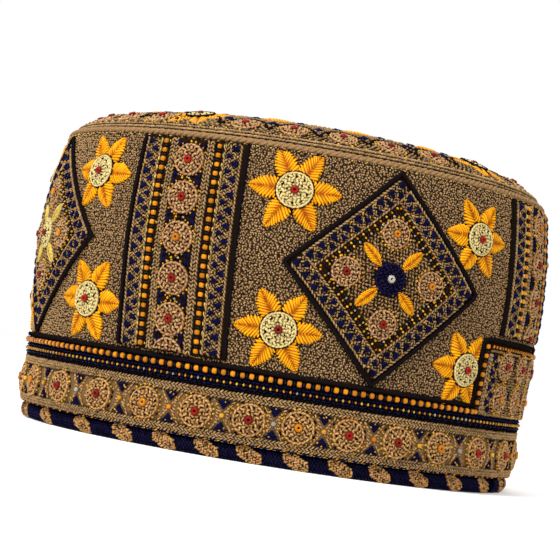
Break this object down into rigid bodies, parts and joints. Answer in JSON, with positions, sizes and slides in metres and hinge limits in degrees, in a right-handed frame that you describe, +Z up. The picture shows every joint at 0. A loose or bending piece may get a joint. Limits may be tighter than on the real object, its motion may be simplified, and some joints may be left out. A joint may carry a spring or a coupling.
{
  "type": "balochi cap",
  "caption": "Round flat-topped cloth cap with embroidered strips, square panels, flowers, rosette band and padded hem, open below for the head.",
  "frame": {"origin": "centre of the hem's round on the surface that the cap rests on", "axes": "+Z up through the middle of the crown, -Y towards the front of the cap"},
  "size_m": [0.195, 0.195, 0.1201],
  "materials": {
    "field_cloth": "speckled tan seed stitch",
    "crown_embroidery": "tan, navy and gold embroidery",
    "petal_thread": "yellow-orange satin stitch",
    "piping_cord": "twisted tan cord",
    "hem_roll": "navy padded binding with tan stitches",
    "braid": "flat tan chevron braid",
    "rosette_cloth": "tan rosettes with seed beads",
    "bead_tape": "navy tape with rows of orange and gold beads",
    "black_cord": "couched black cord",
    "panel_cloth": "tan embroidery with rosettes",
    "column_cloth": "tan braid, navy triangles and bead lines",
    "diamond_cloth": "tan zigzag embroidery with navy triangles and beads"
  },
  "bodies": {
    "root": {"crown": "field_cloth", "side_wall": "field_cloth", "crown_ring": "crown_embroidery", "crown_medallion": "crown_embroidery", "crown_flower_1": "petal_thread", "crown_flower_2": "petal_thread", "crown_flower_3": "petal_thread", "crown_flower_4": "petal_thread", "top_piping": "piping_cord", "hem_binding": "hem_roll", "lower_braid": "braid", "upper_braid": "braid", "rosette_band": "rosette_cloth", "bead_tape_lower": "bead_tape", "bead_tape_upper": "bead_tape", "rail_cord": "black_cord", "front_panel": "panel_cloth", "column_front": "column_cloth", "column_right": "column_cloth", "column_back": "column_cloth", "column_left": "column_cloth", "diamond_1": "diamond_cloth", "diamond_2": "diamond_cloth", "diamond_3": "diamond_cloth", "diamond_4": "diamond_cloth", "flower_01": "petal_thread", "flower_02": "petal_thread", "flower_03": "petal_thread", "flower_04": "petal_thread", "flower_05": "petal_thread", "flower_06": "petal_thread", "flower_07": "petal_thread", "flower_08": "petal_thread", "flower_09": "petal_thread", "flower_10": "petal_thread", "flower_11": "petal_thread", "flower_12": "petal_thread", "flower_13": "petal_thread", "flower_14": "petal_thread", "flower_15": "petal_thread", "flower_16": "petal_thread"}
  },
  "joints": []
}
